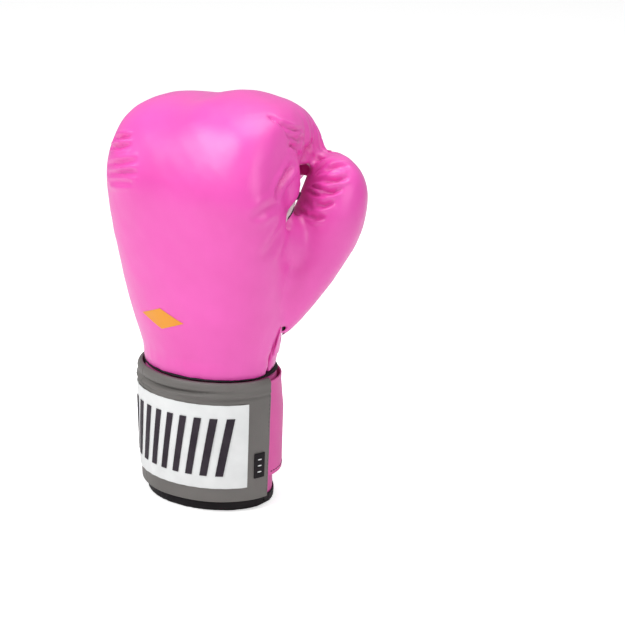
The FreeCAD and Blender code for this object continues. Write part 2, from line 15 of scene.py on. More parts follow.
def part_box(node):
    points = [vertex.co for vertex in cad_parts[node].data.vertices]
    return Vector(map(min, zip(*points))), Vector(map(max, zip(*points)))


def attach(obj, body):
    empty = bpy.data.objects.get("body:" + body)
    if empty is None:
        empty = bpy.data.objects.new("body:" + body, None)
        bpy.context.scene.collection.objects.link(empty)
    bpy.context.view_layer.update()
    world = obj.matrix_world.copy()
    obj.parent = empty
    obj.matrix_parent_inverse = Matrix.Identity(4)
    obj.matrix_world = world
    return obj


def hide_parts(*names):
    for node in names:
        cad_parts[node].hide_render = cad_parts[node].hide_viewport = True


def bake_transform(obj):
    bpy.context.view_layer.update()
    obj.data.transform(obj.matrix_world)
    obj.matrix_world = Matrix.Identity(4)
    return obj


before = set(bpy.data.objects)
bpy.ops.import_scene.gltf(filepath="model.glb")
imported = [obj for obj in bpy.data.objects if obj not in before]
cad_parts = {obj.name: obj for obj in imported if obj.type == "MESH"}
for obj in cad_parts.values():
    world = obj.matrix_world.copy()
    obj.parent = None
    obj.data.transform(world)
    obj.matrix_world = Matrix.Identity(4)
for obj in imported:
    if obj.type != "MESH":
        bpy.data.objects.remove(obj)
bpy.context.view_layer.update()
bpy.ops.object.select_all(action="DESELECT")

# ---------------------------------------------------------------- studio
# A white floor and soft lights: one large panel from the upper left, a weaker one from the right,
# and an even white room. The camera looks down a little at the back of the hand and the thumb.
bpy.ops.mesh.primitive_plane_add(size=6.0, location=(0, 0, -0.0002))
floor = bpy.context.object
floor.name = "studio_floor"
floor_white = bpy.data.materials.new("floor_white")
floor_white.use_nodes = True
floor_white.node_tree.nodes["Principled BSDF"].inputs["Base Color"].default_value = (0.97, 0.97, 0.97, 1)
floor_white.node_tree.nodes["Principled BSDF"].inputs["Roughness"].default_value = 0.6
floor_glow = floor_white.node_tree.nodes.new("ShaderNodeLightPath").outputs["Is Camera Ray"]
floor_part = floor_white.node_tree.nodes.new("ShaderNodeMapRange")
floor_part.inputs[4].default_value = 0.50
floor_white.node_tree.nodes["Principled BSDF"].inputs["Emission Color"].default_value = (1, 1, 1, 1)
floor_white.node_tree.links.new(floor_glow, floor_part.inputs[0])
floor_white.node_tree.links.new(
    floor_part.outputs[0], floor_white.node_tree.nodes["Principled BSDF"].inputs["Emission Strength"]
)
floor.data.materials.append(floor_white)

room = bpy.data.worlds.new("white_room")
room.use_nodes = True
room.node_tree.nodes["Background"].inputs["Color"].default_value = (1.0, 1.0, 1.0, 1)
seen = room.node_tree.nodes.new("ShaderNodeLightPath").outputs["Is Camera Ray"]
level = room.node_tree.nodes.new("ShaderNodeMapRange")
level.inputs[3].default_value = 0.40
level.inputs[4].default_value = 1.05
room.node_tree.links.new(seen, level.inputs[0])
room.node_tree.links.new(level.outputs[0], room.node_tree.nodes["Background"].inputs["Strength"])
bpy.context.scene.world = room


def panel_light(name, place, aim, size, power):
    bpy.ops.object.light_add(type="AREA", location=place)
    lamp = bpy.context.object
    lamp.name = name
    lamp.data.shape = "DISK"
    lamp.data.size = size
    lamp.data.energy = power
    lamp.rotation_euler = (Vector(aim) - Vector(place)).to_track_quat("-Z", "Y").to_euler()


panel_light("upper_left_panel", (-0.45, -1.0, 1.35), (0, 0, 0.2), 1.0, 16.0)
panel_light("right_panel", (1.5, -0.5, 0.9), (0, 0, 0.15), 0.9, 5.0)
panel_light("top_panel", (0.15, 0.25, 1.5), (0, 0, 0.2), 1.2, 10.0)

AIM = Vector((0.0, 0.0, 0.14))
AROUND, ABOVE, AWAY = math.radians(38.0), math.radians(17.0), 1.5
bpy.ops.object.camera_add(
    location=AIM
    + AWAY * Vector((math.cos(ABOVE) * math.sin(AROUND), -math.cos(ABOVE) * math.cos(AROUND), math.sin(ABOVE)))
)
camera = bpy.context.object
camera.rotation_euler = (AIM - camera.location).to_track_quat("-Z", "Y").to_euler()
camera.data.lens = 125.9
camera.data.sensor_width = 36.0
camera.data.shift_x = 0.163
camera.data.shift_y = -0.023
bpy.context.scene.camera = camera
bpy.context.scene.view_settings.view_transform = "Standard"

# ---------------------------------------------------------------- padded fist and thumb
# Moulded foam under a skin of satin pink synthetic leather. The skin is drawn tight over the
# knuckles and gathered where the roll of the fingers and the thumb are sewn in beside the gap.


def make_group(name, sockets_in, sockets_out):
    tree = bpy.data.node_groups.new(name, "ShaderNodeTree")
    for label, value in sockets_in:
        kind = "NodeSocketVector" if value is None else "NodeSocketFloat"
        tree.interface.new_socket(label, in_out="INPUT", socket_type=kind)
        if value is not None:
            tree.interface.items_tree[label].default_value = value
    for label in sockets_out:
        tree.interface.new_socket(label, in_out="OUTPUT", socket_type="NodeSocketFloat")
    return tree, tree.nodes.new("NodeGroupInput").outputs, tree.nodes.new("NodeGroupOutput").inputs


def node(tree, kind, links=(), **settings):
    """Adds a node, sets its properties and unlinked inputs, and joins its linked inputs."""
    made = tree.nodes.new(kind)
    for key, value in settings.items():
        setattr(made, key, value)
    for socket, source in dict(links).items():
        if isinstance(source, bpy.types.NodeSocket):
            tree.links.new(source, made.inputs[socket])
        else:
            made.inputs[socket].default_value = source
    return made


def math_node(tree, what, a, b=0.0, c=0.0, clamp=False):
    return node(tree, "ShaderNodeMath", {0: a, 1: b, 2: c}, operation=what, use_clamp=clamp).outputs[0]


# Leather grain: pebbled cells with fine pores, a soft orange-peel swell, and slow clouds of tone.
grain, given, put = make_group("leather_grain", [("Place", None), ("Pebble", 1300.0)], ["Height", "Tone"])
pebble = node(grain, "ShaderNodeTexVoronoi", {"Vector": given["Place"], "Scale": given["Pebble"]}, feature="SMOOTH_F1")
pores = node(grain, "ShaderNodeTexNoise", {"Vector": given["Place"], "Scale": 2600.0, "Detail": 3.0})
peel = node(grain, "ShaderNodeTexNoise", {"Vector": given["Place"], "Scale": 170.0, "Detail": 2.0})
clouds = node(grain, "ShaderNodeTexNoise", {"Vector": given["Place"], "Scale": 22.0, "Detail": 3.0})
rough_sum = math_node(grain, "MULTIPLY_ADD", pebble.outputs["Distance"], 0.5, pores.outputs[0])
grain.links.new(math_node(grain, "MULTIPLY_ADD", peel.outputs[0], 1.6, rough_sum), put["Height"])
grain.links.new(math_node(grain, "MULTIPLY_ADD", pores.outputs[0], 0.25, clouds.outputs[0]), put["Tone"])


def surface(name, low, high, rough, place, depth=0.0002, strength=0.35, weave=None, **fixed):
    """A material whose colour and roughness drift between two values with the tone of its weave or grain."""
    made = bpy.data.materials.new(name)
    made.use_nodes = True
    tree = made.node_tree
    shader = tree.nodes["Principled BSDF"]
    spot = node(tree, "ShaderNodeTexCoord").outputs[place]
    pattern = node(tree, "ShaderNodeGroup", node_tree=weave or grain)
    tree.links.new(spot, pattern.inputs["Place"])
    tone = node(tree, "ShaderNodeMapRange", {0: pattern.outputs["Tone"], 1: 0.3, 2: 0.9})
    colour = node(tree, "ShaderNodeMix", {0: tone.outputs[0], 6: (*low, 1), 7: (*high, 1)}, data_type="RGBA")
    tree.links.new(colour.outputs[2], shader.inputs["Base Color"])
    gloss = node(tree, "ShaderNodeMapRange", {0: pattern.outputs["Tone"], 1: 0.3, 2: 0.9, 3: rough[0], 4: rough[1]})
    tree.links.new(gloss.outputs[0], shader.inputs["Roughness"])
    bump = node(tree, "ShaderNodeBump", {"Height": pattern.outputs["Height"], "Distance": depth, "Strength": strength})
    tree.links.new(bump.outputs[0], shader.inputs["Normal"])
    for socket, value in fixed.items():
        shader.inputs[socket.replace("_", " ")].default_value = value
    return made


pink = surface(
    "pink_satin_leather", (0.80, 0.055, 0.42), (0.90, 0.085, 0.515), (0.30, 0.42), "Object",
    Coat_Weight=0.75, Coat_Roughness=0.42,
)
pink_dark = surface("pink_trim_leather", (0.68, 0.075, 0.34), (0.78, 0.10, 0.41), (0.38, 0.5), "Object")

# Woven cloth: two crossing sets of threads, 0.5 mm apart, for linings, bindings and tapes.
cloth_weave, given, put = make_group("woven_cloth", [("Place", None), ("Thread", 2000.0)], ["Height", "Tone"])
axes = node(cloth_weave, "ShaderNodeSeparateXYZ", {0: given["Place"]})
side_way = math_node(cloth_weave, "ADD", axes.outputs[0], axes.outputs[1])
threads = [
    math_node(cloth_weave, "PINGPONG", math_node(cloth_weave, "MULTIPLY", way, given["Thread"]), 0.5)
    for way in (side_way, axes.outputs[2])
]
crossing = math_node(cloth_weave, "MULTIPLY", threads[0], threads[1])
lint = node(cloth_weave, "ShaderNodeTexNoise", {"Vector": given["Place"], "Scale": 60.0, "Detail": 4.0})
cloth_weave.links.new(math_node(cloth_weave, "MULTIPLY", crossing, 4.0), put["Height"])
cloth_weave.links.new(math_node(cloth_weave, "MULTIPLY_ADD", crossing, 1.2, lint.outputs[0]), put["Tone"])

black_cloth = surface(
    "black_lining_cloth", (0.010, 0.009, 0.010), (0.035, 0.033, 0.035), (0.75, 0.9), "Object", weave=cloth_weave
)


def points_of(piece):
    spots = np.empty(len(piece.data.vertices) * 3)
    piece.data.vertices.foreach_get("co", spots)
    return spots.reshape(-1, 3)


def put_points(piece, spots):
    piece.data.vertices.foreach_set("co", np.ascontiguousarray(spots).reshape(-1))
    piece.data.update()


def normals_of(piece):
    ways = np.empty(len(piece.data.vertices) * 3)
    piece.data.vertex_normals.foreach_get("vector", ways)
    return ways.reshape(-1, 3)


def joined(name, *names):
    """One mesh from copies of CAD solids, with their loose triangles merged."""
    bpy.ops.object.select_all(action="DESELECT")
    for each in names:
        twin = bpy.data.objects.new(name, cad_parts[each].data.copy())
        twin.data.materials.clear()
        bpy.context.collection.objects.link(twin)
        twin.select_set(True)
        bpy.context.view_layer.objects.active = twin
    if len(names) > 1:
        bpy.ops.object.join()
    piece = bpy.context.object
    piece.name = name
    bpy.ops.object.mode_set(mode="EDIT")
    bpy.ops.mesh.select_all(action="SELECT")
    bpy.ops.mesh.remove_doubles(threshold=1e-6)
    bpy.ops.object.mode_set(mode="OBJECT")
    return piece


def shaped(piece, kind, **settings):
    """Adds a modifier, sets it and applies it."""
    bpy.ops.object.select_all(action="DESELECT")
    piece.select_set(True)
    bpy.context.view_layer.objects.active = piece
    tool = piece.modifiers.new(kind.lower(), kind)
    for key, value in settings.items():
        setattr(tool, key, value)
    bpy.ops.object.modifier_apply(modifier=tool.name)


def skin_of(*names):
    """Finds the nearest point on the surfaces of these CAD solids."""
    spots, faces = [], []
    for each in names:
        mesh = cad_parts[each].data
        start = len(spots)
        spots += [v.co.copy() for v in mesh.vertices]
        faces += [[start + i for i in p.vertices] for p in mesh.polygons]
    return BVHTree.FromPolygons(spots, faces)


def distance_to(skin, spots, reach):
    found = (skin.find_nearest(Vector(p), reach)[3] for p in spots)
    return np.array([reach if d is None else d for d in found])


def largest_shell(piece):
    """Drops the small closed bubbles that a remesh leaves inside."""
    bpy.ops.object.select_all(action="DESELECT")
    piece.select_set(True)
    bpy.context.view_layer.objects.active = piece
    bpy.ops.mesh.separate(type="LOOSE")
    shells = sorted(bpy.context.selected_objects, key=lambda o: -len(o.data.vertices))
    for shell in shells[1:]:
        bpy.data.objects.remove(shell)
    return shells[0]


def swell(piece, held, start_in, cap, pressure=4.0):
    """Blows the pad up against its seams: held is 1 where it is sewn or backed and 0 where it is free."""
    full = points_of(piece)
    put_points(piece, full - normals_of(piece) * (start_in * (1 - held))[:, None])
    tight = piece.vertex_groups.new(name="sewn")
    for i, share in enumerate(held):
        tight.add([i], float(share), "REPLACE")
    bpy.context.view_layer.objects.active = piece
    cloth = piece.modifiers.new("cloth", "CLOTH")
    cloth.settings.quality = 4
    cloth.settings.mass = 0.3
    cloth.settings.use_pressure = True
    cloth.settings.uniform_pressure_force = pressure
    cloth.settings.vertex_group_mass = "sewn"
    cloth.settings.effector_weights.gravity = 0
    cloth.collision_settings.use_collision = False
    cloth.point_cache.frame_end = 20
    for step in range(1, 21):
        bpy.context.scene.frame_set(step)
    bpy.ops.object.modifier_apply(modifier=cloth.name)
    bpy.context.scene.frame_set(1)
    piece.vertex_groups.clear()
    move = points_of(piece) - full
    length = np.linalg.norm(move, axis=1)
    limit = np.maximum(cap * (1 - held), 1e-9)
    put_points(piece, full + move * (np.minimum(length, limit) / np.maximum(length, 1e-9))[:, None])


def beside(spots, path):
    """How far each spot is from a line laid on the skin, and how far along it its nearest place is."""
    path = [Vector(a).lerp(Vector(b), i / 4) for a, b in zip(path[:-1], path[1:]) for i in range(4)] + [Vector(path[-1])]
    path = np.array([fist_skin.find_nearest(p)[0] for p in path])
    best = np.full(len(spots), 9.0)
    run = np.zeros(len(spots))
    gone = 0.0
    for a, b in zip(path[:-1], path[1:]):
        span = np.linalg.norm(b - a)
        t = np.clip(((spots - a) @ (b - a)) / span**2, 0, 1)
        far = np.linalg.norm(spots - (a + t[:, None] * (b - a)), axis=1)
        closer = far < best
        best = np.where(closer, far, best)
        run = np.where(closer, gone + t * span, run)
        gone += span
    return best, run, gone


def gathers(spots, path, depth, pitch, reach):
    """Short folds that run away from a seam on both sides, uneven as hand-guided sewing leaves them."""
    far, run, whole = beside(spots, path)
    phase = 2 * math.pi * run / pitch + 1.3 * np.sin(run * 170) + 0.9 * np.sin(run * 410 + 1)
    ends = np.clip(np.minimum(run, whole - run) / 0.006, 0, 1)
    uneven = 0.65 + 0.35 * np.sin(run * 290 + 2)
    return depth * uneven * ends * np.sin(phase) * np.exp(-((far / reach) ** 1.6))


def crease(spots, path, depth, width):
    """One soft fold: a groove with a low ridge on each side, fading out at its ends."""
    far, run, whole = beside(spots, path)
    ends = np.sin(math.pi * np.clip(run / whole, 0, 1)) ** 0.7
    return depth * ends * (0.5 * np.exp(-(((far - 2.1 * width) / width) ** 2)) - np.exp(-((far / width) ** 2)))


def slow_noise(spots, size, seed):
    """Smooth, low swells from a few crossing waves."""
    rng = np.random.default_rng(seed)
    total = np.zeros(len(spots))
    for _ in range(9):
        way = rng.normal(size=3)
        way *= (0.6 + 0.8 * rng.random()) * 2 * math.pi / (size * np.linalg.norm(way))
        total += np.sin(spots @ way + rng.random() * 6.28)
    return total / 4.5


PINK_NODES = (
    "fist_leather", "back_foam", "fold_foam", "knuckle_foam", "finger_foam", "thumb_leather", "thumb_foam", "thumb_root_foam"
)
fist = joined("padded_fist", *PINK_NODES)
WEB_PADS = (  # place, radii: the web that closes the crotch of the thumb, and the fist's full edge above it
    ((0.0625, 0.006, 0.190), (0.011, 0.015, 0.017)),
    ((0.0585, 0.004, 0.231), (0.0120, 0.0125, 0.024)),
)
for place, radii in WEB_PADS:
    bpy.ops.object.select_all(action="DESELECT")
    bpy.ops.mesh.primitive_uv_sphere_add(segments=32, ring_count=20, radius=1.0)
    pad = bpy.context.object
    for v in pad.data.vertices:
        v.co = Vector(place) + Vector([v.co[i] * radii[i] for i in range(3)])
    fist.select_set(True)
    bpy.context.view_layer.objects.active = fist
    bpy.ops.object.join()
shaped(fist, "REMESH", mode="VOXEL", voxel_size=0.0031)
fist = largest_shell(fist)
shaped(fist, "SMOOTH", factor=0.5, iterations=8)
linings = skin_of("hand_lining", "thumb_lining")
sewn_on = skin_of("palm_mesh", "palm_pad", "palm_base_band", "cuff_piping", "cuff_foam", "hand_lining", "thumb_lining")
held = np.clip(1.25 - distance_to(sewn_on, points_of(fist), 0.03) / 0.012, 0, 1)
swell(fist, held, 0.0008, 0.0016)
spots = points_of(fist)
ease = np.clip((spots[:, 0] + 0.008) / 0.052, 0, 1) * np.clip((spots[:, 2] - 0.238) / 0.028, 0, 1)
spots[:, 2] += 0.0049 * ease * ease * (3 - 2 * ease)  # the thumb side of the knuckles stands as high as the rest
crown = np.exp(-(((spots[:, 0] - 0.009) / 0.018) ** 2)) * np.clip((spots[:, 2] - 0.238) / 0.028, 0, 1)
spots[:, 2] += 0.0042 * crown
skirt = np.clip((0.1065 - spots[:, 2]) / 0.009, 0, 1) * (distance_to(linings, spots, 0.03) > 0.004)
spots[:, 2] -= 0.0038 * skirt  # the skin turns under and hides the piping from the back
spots[:, :2] *= 1 + 0.022 * (skirt * (spots[:, 1] < 0.012))[:, None]
put_points(fist, spots)
shaped(fist, "SUBSURF", levels=1, render_levels=1)

ROLL_SEAM = (
    (0.022, 0.061, 0.206), (0.027, 0.060, 0.215), (0.035, 0.061, 0.226), (0.045, 0.064, 0.238),
    (0.052, 0.056, 0.247), (0.058, 0.044, 0.251), (0.062, 0.022, 0.252),
)
ROLL_EDGE = ((0.053, -0.004, 0.273), (0.057, 0.000, 0.266), (0.060, 0.004, 0.259), (0.062, 0.010, 0.252), (0.061, 0.018, 0.246))
SLOT_TOP = ((0.0600, 0.0240, 0.2400), (0.0600, 0.0300, 0.2458), (0.0592, 0.0345, 0.2500))
SLOT_FOOT = ((0.0655, 0.013, 0.220), (0.0640, 0.004, 0.212), (0.0625, -0.006, 0.203))
THUMB_SEAM = (
    (0.057, 0.050, 0.238), (0.061, 0.040, 0.238), (0.067, 0.033, 0.237), (0.071, 0.028, 0.234),
    (0.0725, 0.023, 0.2265), (0.071, 0.0185, 0.217), (0.067, 0.013, 0.204),
)
CREASES = (  # line, depth, half width
    (((0.063, 0.004, 0.243), (0.067, -0.004, 0.240), (0.0695, -0.014, 0.234), (0.0706, -0.022, 0.226)), 0.0039, 0.0022),
    (((0.0716, -0.018, 0.2235), (0.0716, -0.033, 0.2205), (0.065, -0.041, 0.2145)), 0.0017, 0.0030),
    (((0.072, -0.010, 0.210), (0.0705, -0.022, 0.198), (0.066, -0.030, 0.186)), 0.0017, 0.0042),
    (((-0.058, -0.033, 0.2495), (-0.047, -0.0384, 0.2533), (-0.037, -0.0398, 0.2556)), 0.0030, 0.0018),
    (((-0.0565, -0.037, 0.244), (-0.0436, -0.0426, 0.2484), (-0.0340, -0.043, 0.2515)), 0.0028, 0.0018),
    (((-0.056, -0.041, 0.2325), (-0.0389, -0.0482, 0.2384), (-0.0244, -0.0489, 0.2428)), 0.0026, 0.0020),
    (((-0.055, -0.043, 0.228), (-0.0373, -0.0502, 0.2322), (-0.0213, -0.0517, 0.2356)), 0.0032, 0.0020),
    (((-0.053, -0.045, 0.2235), (-0.0366, -0.0512, 0.2270), (-0.0250, -0.0530, 0.2288)), 0.0023, 0.0020),
    (((0.056, 0.002, 0.262), (0.062, 0.012, 0.258), (0.063, 0.024, 0.257)), 0.0028, 0.0016),
    (((0.058, 0.000, 0.256), (0.064, 0.010, 0.2535), (0.064, 0.020, 0.2535)), 0.0028, 0.0016),
    (((0.055, -0.001, 0.267), (0.060, 0.010, 0.264), (0.062, 0.022, 0.262)), 0.0023, 0.0016),
    (((0.094, 0.030, 0.236), (0.085, 0.025, 0.2315), (0.0745, 0.024, 0.229)), 0.0032, 0.0016),
    (((0.092, 0.024, 0.228), (0.084, 0.020, 0.2240), (0.0745, 0.021, 0.2225)), 0.0032, 0.0016),
    (((0.088, 0.020, 0.218), (0.081, 0.017, 0.2150), (0.0735, 0.018, 0.2150)), 0.0030, 0.0016),
    (((0.084, 0.016, 0.208), (0.077, 0.014, 0.2070), (0.0705, 0.015, 0.2080)), 0.0026, 0.0016),
    (((0.090, 0.036, 0.2425), (0.081, 0.032, 0.2400), (0.073, 0.029, 0.2360)), 0.0028, 0.0016),
)
fist_skin = BVHTree.FromPolygons([v.co for v in fist.data.vertices], [list(p.vertices) for p in fist.data.polygons])
spots, ways = points_of(fist), normals_of(fist)
push = gathers(spots, ROLL_SEAM, 0.0021, 0.0080, 0.012) + gathers(spots, THUMB_SEAM, 0.0018, 0.0062, 0.0085)
push -= 0.0022 * np.exp(-((beside(spots, ROLL_EDGE)[0] / 0.0017) ** 2))
push -= 0.0060 * np.exp(-((beside(spots, SLOT_TOP)[0] / 0.0026) ** 2))
push -= 0.0048 * np.exp(-((beside(spots, SLOT_FOOT)[0] / 0.0026) ** 2))
for path, depth, width in CREASES:
    push += crease(spots, path, depth, width)
seam_height = 0.0975
round_seam = np.arctan2(spots[:, 1], spots[:, 0])
push += 0.00022 * np.sin(34 * round_seam + 2 * np.sin(5 * round_seam)) * np.exp(-np.abs(spots[:, 2] - seam_height) / 0.007)
push += 0.00028 * slow_noise(spots, 0.038, 5) + 0.00012 * slow_noise(spots, 0.014, 8)
free = np.clip(distance_to(sewn_on, spots, 0.01) / 0.008 - 0.15, 0, 1)
put_points(fist, spots + ways * (push * free)[:, None])

fist_skin = BVHTree.FromPolygons(
    [v.co for v in fist.data.vertices], [list(p.vertices) for p in fist.data.polygons]
)
fist.data.materials.append(pink)
fist.data.materials.append(black_cloth)
middles = np.empty(len(fist.data.polygons) * 3)
fist.data.polygons.foreach_get("center", middles)
middles = middles.reshape(-1, 3)
inside = distance_to(linings, middles, 0.01) < 0.0032
inside &= (middles[:, 0] < 0.042) | (middles[:, 2] > 0.145)
fist.data.polygons.foreach_set("material_index", inside.astype(np.int32))
bpy.ops.object.shade_smooth()
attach(fist, "glove")
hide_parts(*PINK_NODES)
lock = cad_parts["thumb_lock_strip"]
lock.data.materials.clear()
lock.data.materials.append(pink)
for hidden in ("hand_lining", "thumb_lining", "slit_tongue", "cuff_lining"):
    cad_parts[hidden].data.materials.clear()
    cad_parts[hidden].data.materials.append(black_cloth)

# ---------------------------------------------------------------- mark on the back of the hand
# A small orange lozenge printed on the skin. It is a plain shape with no lettering.
MARK_MIDDLE, MARK_HALF = (-0.0085, 0.1345), (0.0195, 0.0075)
bpy.ops.mesh.primitive_grid_add(x_subdivisions=26, y_subdivisions=26, size=1.0)
mark = bpy.context.object
mark.name = "orange_lozenge"
skin = BVHTree.FromPolygons([v.co for v in fist.data.vertices], [list(p.vertices) for p in fist.data.polygons])
for v in mark.data.vertices:
    a, b = v.co.x + 0.5, v.co.y + 0.5
    x = MARK_MIDDLE[0] + MARK_HALF[0] * (a - b)
    z = MARK_MIDDLE[1] + MARK_HALF[1] * (a + b - 1)
    at, way, _, _ = skin.ray_cast(Vector((x, -0.15, z)), Vector((0, 1, 0)))
    v.co = at + way * 0.00022
orange = surface("orange_print", (0.80, 0.28, 0.008), (0.88, 0.36, 0.015), (0.3, 0.4), "Object", depth=0.0001)
mark.data.materials.append(orange)
bpy.ops.object.shade_smooth()
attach(mark, "glove")
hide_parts("back_mark")

# ---------------------------------------------------------------- palm
# Open diamond mesh over a soft pad, so the hand can breathe, with a narrow band of pink leather
# under it. The pad is split up the middle and is sewn into the fist all round.
knit, given, put = make_group("diamond_mesh", [("Place", None), ("Wide", 2.4), ("High", 2.1)], ["Height", "Tone"])
axes = node(knit, "ShaderNodeSeparateXYZ", {0: given["Place"]})
across = math_node(knit, "DIVIDE", math_node(knit, "MULTIPLY", axes.outputs[0], 1000.0), given["Wide"])
along = math_node(knit, "DIVIDE", math_node(knit, "MULTIPLY", axes.outputs[2], 1000.0), given["High"])
lines = []
for what in ("ADD", "SUBTRACT"):
    lines.append(math_node(knit, "PINGPONG", math_node(knit, what, across, along), 0.5))
thread = node(knit, "ShaderNodeMapRange", {0: math_node(knit, "MINIMUM", *lines), 1: 0.08, 2: 0.16, 3: 1.0, 4: 0.0})
fluff = node(knit, "ShaderNodeTexNoise", {"Vector": given["Place"], "Scale": 900.0, "Detail": 2.0})
knit.links.new(math_node(knit, "MULTIPLY_ADD", fluff.outputs[0], 0.3, thread.outputs[0]), put["Height"])
knit.links.new(math_node(knit, "MULTIPLY_ADD", thread.outputs[0], 0.75, 0.25), put["Tone"])
mesh_cloth = surface(
    "black_diamond_mesh", (0.004, 0.003, 0.004), (0.07, 0.048, 0.064), (0.85, 0.6), "Object",
    depth=0.0004, strength=0.8, weave=knit, Specular_IOR_Level=0.25,
)
PALM_NODES = ("palm_mesh", "palm_pad", "palm_base_band")
BAND_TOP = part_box("palm_base_band")[1][2]
palm = joined("padded_palm", *PALM_NODES)
shaped(palm, "REMESH", mode="VOXEL", voxel_size=0.0024)
palm = largest_shell(palm)
shaped(palm, "SMOOTH", factor=0.5, iterations=2)
palm_edge = skin_of("fist_leather", "slit_facing", "thumb_trim", "hand_lining", "slit_tongue", "thumb_leather")
held = np.clip(1.4 - distance_to(palm_edge, points_of(palm), 0.03) / 0.007, 0, 1)
swell(palm, held, 0.0002, 0.0009)
shaped(palm, "SUBSURF", levels=1, render_levels=1)
spots, ways = points_of(palm), normals_of(palm)
groove = np.exp(-(((spots[:, 2] - BAND_TOP) / 0.0009) ** 2)) * (ways[:, 1] > 0.3)
put_points(palm, spots - ways * (0.0006 * groove)[:, None])
for each in (mesh_cloth, pink, black_cloth):
    palm.data.materials.append(each)
middles = np.empty(len(palm.data.polygons) * 3)
palm.data.polygons.foreach_get("center", middles)
middles = middles.reshape(-1, 3)
thumb_side = (middles[:, 0] > 0.036) & (middles[:, 2] < 0.134)
kinds = np.where((middles[:, 2] < BAND_TOP) | thumb_side, 1, 0)
kinds = np.where(distance_to(skin_of("hand_lining"), middles, 0.01) < 0.0022, 2 - thumb_side, kinds)
palm.data.polygons.foreach_set("material_index", kinds.astype(np.int32))
bpy.ops.object.shade_smooth()
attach(palm, "glove")
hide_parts(*PALM_NODES)

# ---------------------------------------------------------------- white facing and thumb trim
# White leather sewn round the slit and along the thumb seam. Black lock-stitch runs in two rows
# inside the facing's outer edge and in one row along the middle of the trim.
white_leather = surface("white_facing_leather", (0.66, 0.64, 0.61), (0.80, 0.79, 0.77), (0.4, 0.52), "Object")
for each in ("slit_facing", "thumb_trim"):
    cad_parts[each].data.materials.clear()
    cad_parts[each].data.materials.append(white_leather)
TRIM_FOOT = 0.131  # the white shows above this; below it the trim is pink
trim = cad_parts["thumb_trim"]
trim.data.materials.append(pink)
for face in trim.data.polygons:
    face.material_index = int(face.center.z < TRIM_FOOT)
thread_black = surface(
    "black_thread", (0.008, 0.007, 0.008), (0.02, 0.018, 0.02), (0.45, 0.6), "Object", weave=cloth_weave
)


def sewn(name, rows, body, material=thread_black, length=0.0022, pitch=0.0031, thick=0.00045):
    """Stitches laid end to end along rows of (place, outward way); one short rounded thread, copied."""
    bpy.ops.mesh.primitive_uv_sphere_add(segments=6, ring_count=4, radius=1.0)
    one = bpy.context.object
    shape = [v.co.copy() for v in one.data.vertices]
    sides = [list(p.vertices) for p in one.data.polygons]
    bpy.data.objects.remove(one)
    corners, faces = [], []
    for row in rows:
        gone = pitch / 2
        for (a, up_a), (b, up_b) in zip(row[:-1], row[1:]):
            span = (b - a).length
            while gone <= span:
                share = gone / span
                middle, way = a.lerp(b, share), (b - a).normalized()
                up = up_a.lerp(up_b, share).normalized()
                side = way.cross(up).normalized()
                start = len(corners)
                corners += [
                    middle + way * (c.z * length / 2) + side * (c.x * thick) + up * (c.y * thick * 0.8) for c in shape
                ]
                faces += [[start + i for i in f] for f in sides]
                gone += pitch
            gone -= span
    mesh = bpy.data.meshes.new(name)
    mesh.from_pydata(corners, [], faces)
    threads = bpy.data.objects.new(name, mesh)
    bpy.context.collection.objects.link(threads)
    mesh.materials.append(material)
    mesh.shade_smooth()
    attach(threads, body)
    return threads


def laid(points, skins, towards, lift=0.0001):
    """Drops points onto a surface along a direction, keeping only those that land."""
    row = []
    for p in points:
        at, way, _, _ = skins.ray_cast(Vector(p) - Vector(towards) * 0.2, Vector(towards))
        if at is not None:
            row.append((at + way * lift, way))
    return row


facing_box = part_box("slit_facing")
SLIT_MIDDLE, SLIT_TOP = -0.009, facing_box[1][2]
FACING_TOP_HALF, FACING_RIM_HALF = 0.0205, 0.0175
facing_skin = skin_of("slit_facing")


def slit_path(inside, z0):
    """The facing's outline moved inwards, up one side, over the arch and down the other."""
    top, low = FACING_TOP_HALF - inside, FACING_RIM_HALF - inside
    arch = SLIT_TOP - FACING_TOP_HALF
    steps = [z0 + (arch - z0) * i / 30 for i in range(31)]
    half = [low + (top - low) * (z + 0.02) / (arch + 0.02) for z in steps]
    left = [(SLIT_MIDDLE - h, 0, z) for h, z in zip(half, steps)]
    right = [(SLIT_MIDDLE + h, 0, z) for h, z in zip(half, steps)]
    turn = [math.pi * i / 24 for i in range(1, 24)]
    over = [(SLIT_MIDDLE - top * math.cos(t), 0, arch + top * math.sin(t)) for t in turn]
    return left + over + right[::-1]


